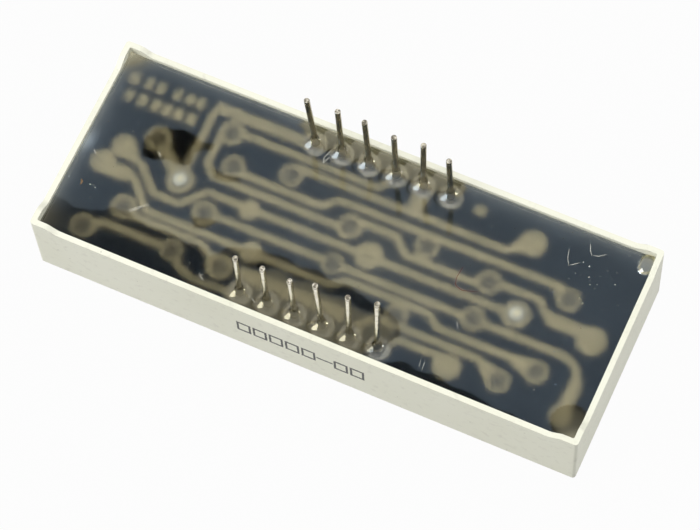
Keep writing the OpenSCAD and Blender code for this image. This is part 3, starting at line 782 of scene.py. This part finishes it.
# %% The painted reflection skin
BLOOM_LIFT = 0.01
lifted = top + np.array([0, 0, BLOOM_LIFT])
painted_reflection_skin = new_piece("resin_painted_reflection", lifted, skin_faces(), painted_reflection_finish)
kept = painted_reflection_skin.data.attributes.new("veil", "FLOAT_VECTOR", "POINT")
kept.data.foreach_set("vector", np.stack([strength, warmth, clear], axis=2).astype(np.float32).ravel())
print("resin_painted_reflection", len(painted_reflection_skin.data.polygons), "faces")

# %% [markdown]
# ## Traces of handling
# The resin's skin has a few pale scratches, grains of dust, an amber shaving and one red-brown
# fibre. Each is a real small form, so that it catches the light: a scratch or fibre is a thin
# strip that tapers to both ends and follows the skin, and a grain is a small uneven crumb.

# %% Strips and crumbs on the skin
TRACE_LIFT = 0.02


def strip(path, width, steps=5):
    """Points and quads of a thin tapered strip along a path of (x, y), laid on the skin."""
    path = np.array(path, dtype=float)
    stations = np.linspace(0, len(path) - 1, steps * (len(path) - 1) + 1)
    line = np.stack([np.interp(stations, range(len(path)), path[:, axis]) for axis in (0, 1)], axis=1)
    if len(path) > 2:
        line[1:-1] = (line[:-2] + 2 * line[1:-1] + line[2:]) / 4
    ahead = np.gradient(line, axis=0)
    side = np.stack([-ahead[:, 1], ahead[:, 0]], axis=1) / np.linalg.norm(ahead, axis=1)[:, None]
    half = width / 2 * np.sqrt(np.clip(np.sin(np.linspace(0.12, math.pi - 0.12, len(line))), 0, 1))
    flat = np.vstack([line + side * half[:, None], line - side * half[:, None]])
    height = resin_height(flat[:, 0], flat[:, 1]) + TRACE_LIFT
    n = len(line)
    return np.column_stack([flat, height]), [[i, n + i, n + i + 1, i + 1] for i in range(n - 1)]


def crumb(spot, size, turn):
    """Points and triangles of an uneven little octahedron that rests on the skin."""
    corners = [(1, 0, 0), (0.1, 0.8, 0), (-0.9, 0.2, 0), (-0.1, -0.7, 0), (0.1, 0.1, 0.7), (0, 0, -0.3)]
    c, s = math.cos(turn), math.sin(turn)
    points = np.array([(spot[0] + size * (c * x - s * y), spot[1] + size * (s * x + c * y), size * z)
                       for x, y, z in corners])
    points[:, 2] += float(resin_height(np.array([spot[0]]), np.array([spot[1]]))[0]) + TRACE_LIFT
    return points, [[a, (a + 1) % 4, 4] for a in range(4)] + [[(a + 1) % 4, a, 5] for a in range(4)]


def joined(shapes):
    """One list of points and one of faces from several shapes."""
    points, faces, first = [], [], 0
    for shape_points, shape_faces in shapes:
        points.append(shape_points)
        faces += [[first + i for i in face] for face in shape_faces]
        first += len(shape_points)
    return np.vstack(points), faces


print("trace helpers ready")


# %% Finishes of the traces
def trace_material(name, first, second):
    """A dull two-tone finish for a trace."""
    material, tree, shader, place = start_material(name)
    colour = mix_colour(tree, cloudy(tree, place, 4.0, 0.4, 0.6), first, second)
    feed(tree, shader, Base_Color=colour, Roughness=0.5)
    return material


pale_trace = trace_material("pale_trace", (0.85, 0.83, 0.72, 1), (0.50, 0.49, 0.42, 1))
amber_trace = trace_material("amber_trace", (0.42, 0.24, 0.07, 1), (0.22, 0.11, 0.03, 1))
fibre_trace = trace_material("fibre_trace", (0.34, 0.075, 0.045, 1), (0.22, 0.05, 0.03, 1))
print("materials", pale_trace.name, amber_trace.name, fibre_trace.name)

# %% Scratches, grains, a shaving and a fibre
SCRATCHES = [
    ([(-18.23, -4.73), (-17.6, -4.12), (-16.83, -3.5)], 0.05), ([(-18.05, -4.75), (-17.3, -4.05)], 0.035),
    ([(-18.27, 1.33), (-17.9, 0.93)], 0.07), ([(-10.17, -7.5), (-9.85, -7.85), (-9.5, -8.0)], 0.035),
    ([(-10.1, -7.8), (-9.8, -7.55)], 0.03), ([(-23.5, -0.67), (-23.17, -1.0)], 0.05),
    ([(10.15, -7.2), (10.3, -7.9)], 0.025), ([(10.55, -7.3), (10.62, -8.1)], 0.03),
    ([(11.5, -2.9), (11.9, -3.5)], 0.035), ([(17.55, 6.95), (17.75, 6.1), (18.16, 5.45)], 0.04),
    ([(18.2, 5.6), (18.85, 6.13)], 0.04), ([(19.0, 8.08), (19.25, 7.5), (19.57, 7.08)], 0.04),
    ([(19.65, 7.2), (20.1, 7.3), (20.66, 7.75)], 0.035), ([(-4.64, 7.29), (-5.0, 6.5), (-4.81, 5.88)], 0.05),
    ([(-4.85, 5.95), (-4.59, 6.66)], 0.05), ([(-5.1, -7.9), (-4.6, -8.2)], 0.04),
]
GRAINS = [(-22.3, -3.8, 0.09), (-22.0, -3.7, 0.05), (-21.8, -3.9, 0.07), (-21.07, 3.23, 0.05),
          (-21.1, 2.23, 0.06), (-11.33, -7.05, 0.05), (-11.3, -7.5, 0.06), (6.4, -1.1, 0.06),
          (-4.9, -2.6, 0.05), (2.7, -3.3, 0.05), (14.2, 1.9, 0.05), (-13.4, 0.2, 0.05),
          (8.1, 2.9, 0.045), (20.4, -1.3, 0.05), (19.72, 6.14, 0.1), (22.34, 5.44, 0.07),
          (12.6, 6.86, 0.05), (21.3, 6.4, 0.05), (18.9, 5.1, 0.05)]
AMBER = [([(-23.25, -3.65), (-23.05, -3.85), (-23.1, -4.15)], 0.09)]
FIBRE = [([(10.0, 1.83), (9.9, 0.73), (10.07, 0.07), (10.77, -0.17), (12.1, 0.27)], 0.04)]
SPREAD_GRAINS, SPREAD_SIZES, WALL_MARGIN = 90, (0.025, 0.06), 0.4
CORNER_GRAINS, CORNER_SIZES, CORNER_MARGIN = 40, (0.025, 0.065), 0.3
CORNER_X, CORNER_Y = (20.5, 1.8), (5.0, 2.2)
scatter = np.random.default_rng(7)
far_x, far_y = in_x - WALL_MARGIN, in_y - WALL_MARGIN
for _ in range(SPREAD_GRAINS):
    x, y = scatter.uniform(-far_x, far_x), scatter.uniform(-far_y, far_y)
    GRAINS.append((float(x), float(y), float(scatter.uniform(*SPREAD_SIZES))))
for _ in range(CORNER_GRAINS):
    x, y = scatter.normal(*CORNER_X), scatter.normal(*CORNER_Y)
    if abs(x) < in_x - CORNER_MARGIN and abs(y) < in_y - CORNER_MARGIN:
        GRAINS.append((float(x), float(y), float(scatter.uniform(*CORNER_SIZES))))
for name, shapes, finish in (
    ("trace_scratches", [strip(path, width) for path, width in SCRATCHES], pale_trace),
    ("trace_grains", [crumb((x, y), size, 7.3 * x) for x, y, size in GRAINS], pale_trace),
    ("trace_shaving", [strip(path, width) for path, width in AMBER], amber_trace),
    ("trace_fibre", [strip(path, width) for path, width in FIBRE], fibre_trace),
):
    trace_points, trace_faces = joined(shapes)
    new_piece(name, trace_points, trace_faces, finish)
print("traces", len(SCRATCHES), "scratches,", len(GRAINS), "grains")

# %% [markdown]
# ## The wires
# The CAD pins are straight, for a board to fit on. The real ones lean a little, each its own
# way, because they were bent in handling. Each wire is swept along a gently bent line from
# its solder joint to its tip, with a worn edge at the end where it was cut. Its bend starts
# at the resin's level and grows towards the tip.

# %% How far each tip leans
TIP_LEAN = {
    "pin_1": (-0.06, 0.66), "pin_2": (0.04, 0.24), "pin_3": (-0.30, 0.13),
    "pin_4": (0.15, -0.33), "pin_5": (0.19, -0.22), "pin_6": (0.31, -0.28),
    "pin_7": (-0.37, -0.07), "pin_8": (-0.11, 0.03), "pin_9": (-0.17, 0.0),
    "pin_10": (0.12, -0.31), "pin_11": (0.14, 0.0), "pin_12": (0.11, -0.48),
}
WIRE_SIDES, TIP_EDGE, BEND_POWER = 28, 0.07, 1.15
RINGS_BELOW, RINGS_ABOVE, FIRST_ABOVE = 4, 16, 0.3
SHARP_ANGLE = math.radians(35)
print("largest lean", max(math.hypot(*lean) for lean in TIP_LEAN.values()), "mm")


# %% Sweep one wire
def wire_points(name):
    """Rings of points from the solder joint to the tip, and how many rings there are."""
    low, high = pin_boxes[name]
    radius = (high[0] - low[0]) / 2
    spot = pin_spots[name]
    lean = np.array(TIP_LEAN[name])
    straight = [*np.linspace(low[2], level, RINGS_BELOW),
                *np.linspace(level + FIRST_ABOVE, high[2] - TIP_EDGE, RINGS_ABOVE)]
    stations = [(z, radius) for z in straight]
    stations += [(high[2] - TIP_EDGE / 3, radius - TIP_EDGE * 0.3), (high[2], radius - TIP_EDGE)]
    rings = []
    angles = np.linspace(0, 2 * math.pi, WIRE_SIDES, endpoint=False)
    for z, ring_r in stations:
        share = max(z - level, 0) / (high[2] - level)
        middle = spot + lean * share ** BEND_POWER
        rings.append(np.stack([middle[0] + ring_r * np.cos(angles), middle[1] + ring_r * np.sin(angles),
                               np.full(WIRE_SIDES, z)], axis=1))
    return np.vstack(rings), len(stations)


for name in pin_names:
    points, ring_count = wire_points(name)
    faces = [[r * WIRE_SIDES + s, r * WIRE_SIDES + (s + 1) % WIRE_SIDES,
              (r + 1) * WIRE_SIDES + (s + 1) % WIRE_SIDES, (r + 1) * WIRE_SIDES + s]
             for r in range(ring_count - 1) for s in range(WIRE_SIDES)]
    faces.append(list(range(WIRE_SIDES - 1, -1, -1)))
    faces.append([(ring_count - 1) * WIRE_SIDES + s for s in range(WIRE_SIDES)])
    wire = new_piece(name.replace("pin", "wire"), points, faces, tinned_wire)
    wire.data.set_sharp_from_angle(angle=SHARP_ANGLE)
    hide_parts(name)
print("wires", len(pin_names))

# %% [markdown]
# ## Studio
# The photograph was taken on white paper under large soft lights. The world gives an even
# fill and shows white to the camera and in reflections. The floor shows nearly white to them
# too and keeps a faint contact shadow. Of the four lamps, the one overhead only lights the
# module and shows in no reflection, or the resin would mirror it at the walls.

# %% World
FILL = 0.5


def seen_directly(tree):
    """1 for the camera's rays, in reflections and through resin; 0 for light that is passed on."""
    rays = add(tree, "ShaderNodeLightPath").outputs
    direct = math_node(tree, "MAXIMUM", rays["Is Camera Ray"], rays["Is Glossy Ray"])
    return math_node(tree, "MAXIMUM", direct, rays["Is Transmission Ray"])


world = bpy.data.worlds.new("studio_white")
world.use_nodes = True
bpy.context.scene.world = world
tree = world.node_tree
glow = add(tree, "ShaderNodeMapRange", {"Value": seen_directly(tree), "To Min": FILL, "To Max": 1.0})
plug(tree, tree.nodes["Background"].inputs["Strength"], glow.outputs["Result"])
plug(tree, tree.nodes["Background"].inputs["Color"], (1, 1, 1, 1))
print("world", world.name)

# %% Floor
# The floor is typed in metres and lies a hair under the module.
FLOOR_HALF, FLOOR_Z = 0.6, -0.00001
WHITE_SHARE = 0.97
floor_mesh = bpy.data.meshes.new("studio_floor")
floor_mesh.from_pydata([(x * FLOOR_HALF, y * FLOOR_HALF, FLOOR_Z) for x, y in SQUARE], [], [[0, 1, 2, 3]])
studio_floor = bpy.data.objects.new("studio_floor", floor_mesh)
bpy.context.scene.collection.objects.link(studio_floor)
paper = bpy.data.materials.new("white_paper")
paper.use_nodes = True
floor_mesh.materials.append(paper)
tree = paper.node_tree
lit = tree.nodes["Principled BSDF"]
feed(tree, lit, Base_Color=(0.25, 0.25, 0.25, 1), Roughness=0.9, Specular_IOR_Level=0.0)
bright = add(tree, "ShaderNodeEmission", {"Color": (1, 1, 1, 1), "Strength": 1.0})
share = math_node(tree, "MULTIPLY", seen_directly(tree), WHITE_SHARE)
both = add(tree, "ShaderNodeMixShader", {0: share, 1: lit.outputs[0], 2: bright.outputs[0]})
plug(tree, tree.nodes["Material Output"].inputs["Surface"], both.outputs[0])
print("floor", studio_floor.name)


# %% Softboxes
def softbox(name, place, size, watts, glints=True):
    """A square soft light that looks at the module. It can be kept out of reflections."""
    lamp = bpy.data.lights.new(name, "AREA")
    lamp.shape = "SQUARE"
    lamp.size = size * MM
    lamp.energy = watts
    holder = bpy.data.objects.new(name, lamp)
    holder.location = Vector(place) * MM
    holder.visible_glossy = glints
    holder.rotation_euler = (-holder.location).to_track_quat("-Z", "Y").to_euler()
    bpy.context.scene.collection.objects.link(holder)


softbox("window", (-305, -265, 295), 330, 0.3)
softbox("window_lamp", (-304, -264, 294), 260, 1.15)
softbox("side_light", (400, 200, 175), 90, 0.45)
softbox("top_light", (60, -20, 500), 340, 0.75, glints=False)
